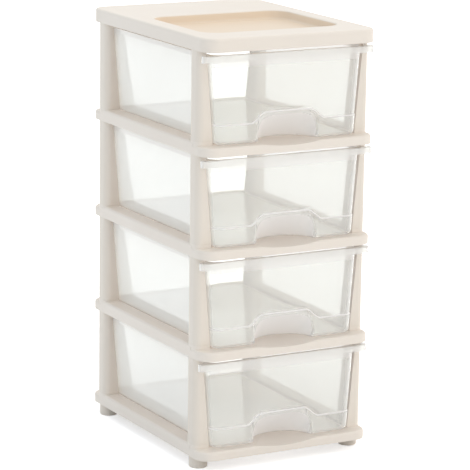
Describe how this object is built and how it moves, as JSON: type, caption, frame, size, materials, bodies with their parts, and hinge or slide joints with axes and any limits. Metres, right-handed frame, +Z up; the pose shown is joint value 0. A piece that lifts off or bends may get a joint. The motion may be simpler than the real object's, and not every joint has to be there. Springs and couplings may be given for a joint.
{
  "type": "drawer tower",
  "caption": "Free-standing plastic tower of skirted shelves on plug-in corner posts, with a clear drawer that slides out on each shelf and a shallow tray moulded into the top.",
  "frame": {"origin": "middle of the footprint, on the floor under the feet", "axes": "+Z up, -Y the front that the drawers slide out of, +X to the right of someone facing the front"},
  "size_m": [0.302, 0.4, 0.6775],
  "materials": {
    "frame_plastic": "satin",
    "foot_plastic": "satin",
    "clear_plastic": "clear, polished"
  },
  "bodies": {
    "frame": {"base_shelf": "frame_plastic", "shelf_1": "frame_plastic", "shelf_2": "frame_plastic", "shelf_3": "frame_plastic", "top_panel": "frame_plastic", "post_1_front_left": "frame_plastic", "post_1_front_right": "frame_plastic", "post_1_rear_left": "frame_plastic", "post_1_rear_right": "frame_plastic", "post_2_front_left": "frame_plastic", "post_2_front_right": "frame_plastic", "post_2_rear_left": "frame_plastic", "post_2_rear_right": "frame_plastic", "post_3_front_left": "frame_plastic", "post_3_front_right": "frame_plastic", "post_3_rear_left": "frame_plastic", "post_3_rear_right": "frame_plastic", "post_4_front_left": "frame_plastic", "post_4_front_right": "frame_plastic", "post_4_rear_left": "frame_plastic", "post_4_rear_right": "frame_plastic", "foot_front_left": "foot_plastic", "foot_front_right": "foot_plastic", "foot_rear_left": "foot_plastic", "foot_rear_right": "foot_plastic"},
    "drawer_1": {"drawer_1": "clear_plastic"},
    "drawer_2": {"drawer_2": "clear_plastic"},
    "drawer_3": {"drawer_3": "clear_plastic"},
    "drawer_4": {"drawer_4": "clear_plastic"}
  },
  "joints": [
    {"name": "drawer_1_slide", "type": "slide", "parent": "frame", "child": "drawer_1", "axis": [0, -1, 0], "range_m": [0, 0.3]},
    {"name": "drawer_2_slide", "type": "slide", "parent": "frame", "child": "drawer_2", "axis": [0, -1, 0], "range_m": [0, 0.3]},
    {"name": "drawer_3_slide", "type": "slide", "parent": "frame", "child": "drawer_3", "axis": [0, -1, 0], "range_m": [0, 0.3]},
    {"name": "drawer_4_slide", "type": "slide", "parent": "frame", "child": "drawer_4", "axis": [0, -1, 0], "range_m": [0, 0.3]}
  ]
}
